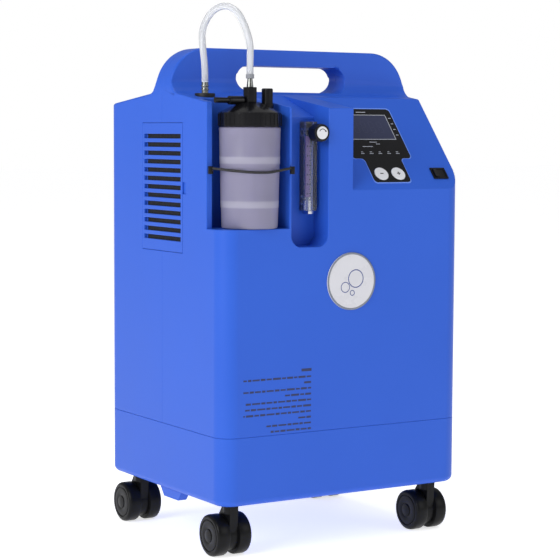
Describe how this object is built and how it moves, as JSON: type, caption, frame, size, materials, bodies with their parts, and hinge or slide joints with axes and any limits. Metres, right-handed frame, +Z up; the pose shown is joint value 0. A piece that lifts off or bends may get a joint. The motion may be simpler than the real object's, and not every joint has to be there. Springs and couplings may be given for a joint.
{
  "type": "oxygen concentrator",
  "caption": "Upright medical oxygen concentrator on casters, with a moulded housing, carrying handle, display, flowmeter, humidifier bottle and louvred filter door.",
  "frame": {"origin": "on the floor under the centre of the object's box", "axes": "+Z up, +Y towards the back, +X to the right seen from the front"},
  "size_m": [0.342, 0.3087, 0.6497],
  "materials": {
    "blue_shell": "satin moulded blue plastic",
    "black_plastic": "satin black",
    "black_film": "glossy printed film",
    "display_glass": "dark grey display",
    "white_plastic": "smooth white",
    "clear_acrylic": "polished clear",
    "frosted_plastic": "frosted translucent",
    "clear_tube": "clear soft tube",
    "black_rubber": "matte",
    "grey_rubber": "matte",
    "nickel": "nickel plated",
    "steel": "bright steel",
    "aluminium": "cast and machined",
    "circuit_board": "green solder mask",
    "foam": "open-cell foam",
    "grey_plastic": "moulded"
  },
  "bodies": {
    "housing": {"front_shell": "blue_shell", "rear_shell": "blue_shell", "base_tub": "blue_shell", "shell_screws": "steel", "display_overlay": "black_film", "display_window": "display_glass", "display_board": "circuit_board", "switch_frame": "black_plastic", "badge": "white_plastic", "flowmeter_body": "clear_acrylic", "flowmeter_fittings": "nickel", "retaining_strap": "black_rubber", "strap_anchors": "grey_plastic", "outlet_barb": "nickel", "outlet_washer": "black_rubber", "oxygen_tube": "clear_tube", "exhaust_grille": "black_plastic", "power_inlet": "black_plastic", "compressor_body": "aluminium", "compressor_heads": "aluminium", "compressor_mounts": "black_rubber", "heat_exchanger": "aluminium", "fan_frame": "black_plastic", "sieve_beds": "aluminium", "product_tank": "aluminium", "valve_block": "aluminium", "control_board": "circuit_board", "run_capacitor": "steel", "intake_filter": "grey_plastic"},
    "minus_button": {"minus_button": "white_plastic"},
    "plus_button": {"plus_button": "white_plastic"},
    "rocker": {"power_rocker": "black_plastic"},
    "knob": {"flow_knob": "black_plastic", "knob_cap": "white_plastic"},
    "float": {"flow_float": "steel"},
    "humidifier": {"humidifier_cap": "black_plastic", "jar_gasket": "black_rubber", "cap_nut": "black_plastic", "inlet_nipple": "black_plastic", "tube_cuff": "grey_rubber", "outlet_spout": "black_plastic", "relief_valve": "black_plastic", "dip_tube": "white_plastic", "diffuser": "foam"},
    "jar": {"humidifier_jar": "frosted_plastic"},
    "door": {"filter_door": "blue_shell", "foam_filter": "foam"},
    "fan": {"fan_impeller": "black_plastic"},
    "caster_front_left": {"caster_front_left": "black_plastic"},
    "wheel_front_left_left": {"wheel_front_left_left": "black_plastic"},
    "wheel_front_left_right": {"wheel_front_left_right": "black_plastic"},
    "caster_front_right": {"caster_front_right": "black_plastic"},
    "wheel_front_right_left": {"wheel_front_right_left": "black_plastic"},
    "wheel_front_right_right": {"wheel_front_right_right": "black_plastic"},
    "caster_back_left": {"caster_back_left": "black_plastic"},
    "wheel_back_left_left": {"wheel_back_left_left": "black_plastic"},
    "wheel_back_left_right": {"wheel_back_left_right": "black_plastic"},
    "caster_back_right": {"caster_back_right": "black_plastic"},
    "wheel_back_right_left": {"wheel_back_right_left": "black_plastic"},
    "wheel_back_right_right": {"wheel_back_right_right": "black_plastic"}
  },
  "joints": [
    {"name": "minus_press", "type": "slide", "parent": "housing", "child": "minus_button", "axis": [0, 0.7649, -0.6441], "range_m": [0, 0.0015], "stiffness_N_per_m": 600, "springref_m": -0.0004},
    {"name": "plus_press", "type": "slide", "parent": "housing", "child": "plus_button", "axis": [0, 0.7649, -0.6441], "range_m": [0, 0.0015], "stiffness_N_per_m": 600, "springref_m": -0.0004},
    {"name": "power_rock", "type": "hinge", "parent": "housing", "child": "rocker", "pos_m": [0.1455, -0.12783, 0.44942], "axis": [0, 0.6441, 0.7649], "range_deg": [-16, 0]},
    {"name": "flow_turn", "type": "hinge", "parent": "housing", "child": "knob", "pos_m": [-0.04, -0.1102, 0.4985], "axis": [0, 1, 0], "range_deg": [0, 720]},
    {"name": "float_rise", "type": "slide", "parent": "housing", "child": "float", "axis": [0, 0, 1], "range_m": [0, 0.052]},
    {"name": "humidifier_pull", "type": "slide", "parent": "housing", "child": "humidifier", "axis": [0, -1, 0], "range_m": [0, 0.105], "deforming": ["oxygen_tube", "retaining_strap"]},
    {"name": "jar_unscrew", "type": "hinge", "parent": "humidifier", "child": "jar", "pos_m": [-0.12, -0.1162, 0.4], "axis": [0, 0, 1], "range_deg": [0, 540]},
    {"name": "door_pull", "type": "slide", "parent": "housing", "child": "door", "axis": [-1, 0, 0], "range_m": [0, 0.06]},
    {"name": "fan_spin", "type": "hinge", "parent": "housing", "child": "fan", "pos_m": [0.04, 0.1318, 0.24], "axis": [0, 1, 0], "continuous": true},
    {"name": "swivel_front_left", "type": "hinge", "parent": "housing", "child": "caster_front_left", "pos_m": [-0.143, -0.1132, 0.06], "axis": [0, 0, 1], "continuous": true},
    {"name": "roll_front_left_left", "type": "hinge", "parent": "caster_front_left", "child": "wheel_front_left_left", "pos_m": [-0.143, -0.1012, 0.025], "axis": [1, 0, 0], "continuous": true},
    {"name": "roll_front_left_right", "type": "hinge", "parent": "caster_front_left", "child": "wheel_front_left_right", "pos_m": [-0.143, -0.1012, 0.025], "axis": [1, 0, 0], "continuous": true},
    {"name": "swivel_front_right", "type": "hinge", "parent": "housing", "child": "caster_front_right", "pos_m": [0.143, -0.1132, 0.06], "axis": [0, 0, 1], "continuous": true},
    {"name": "roll_front_right_left", "type": "hinge", "parent": "caster_front_right", "child": "wheel_front_right_left", "pos_m": [0.143, -0.1012, 0.025], "axis": [1, 0, 0], "continuous": true},
    {"name": "roll_front_right_right", "type": "hinge", "parent": "caster_front_right", "child": "wheel_front_right_right", "pos_m": [0.143, -0.1012, 0.025], "axis": [1, 0, 0], "continuous": true},
    {"name": "swivel_back_left", "type": "hinge", "parent": "housing", "child": "caster_back_left", "pos_m": [-0.143, 0.1138, 0.06], "axis": [0, 0, 1], "continuous": true},
    {"name": "roll_back_left_left", "type": "hinge", "parent": "caster_back_left", "child": "wheel_back_left_left", "pos_m": [-0.143, 0.1258, 0.025], "axis": [1, 0, 0], "continuous": true},
    {"name": "roll_back_left_right", "type": "hinge", "parent": "caster_back_left", "child": "wheel_back_left_right", "pos_m": [-0.143, 0.1258, 0.025], "axis": [1, 0, 0], "continuous": true},
    {"name": "swivel_back_right", "type": "hinge", "parent": "housing", "child": "caster_back_right", "pos_m": [0.143, 0.1138, 0.06], "axis": [0, 0, 1], "continuous": true},
    {"name": "roll_back_right_left", "type": "hinge", "parent": "caster_back_right", "child": "wheel_back_right_left", "pos_m": [0.143, 0.1258, 0.025], "axis": [1, 0, 0], "continuous": true},
    {"name": "roll_back_right_right", "type": "hinge", "parent": "caster_back_right", "child": "wheel_back_right_right", "pos_m": [0.143, 0.1258, 0.025], "axis": [1, 0, 0], "continuous": true}
  ]
}
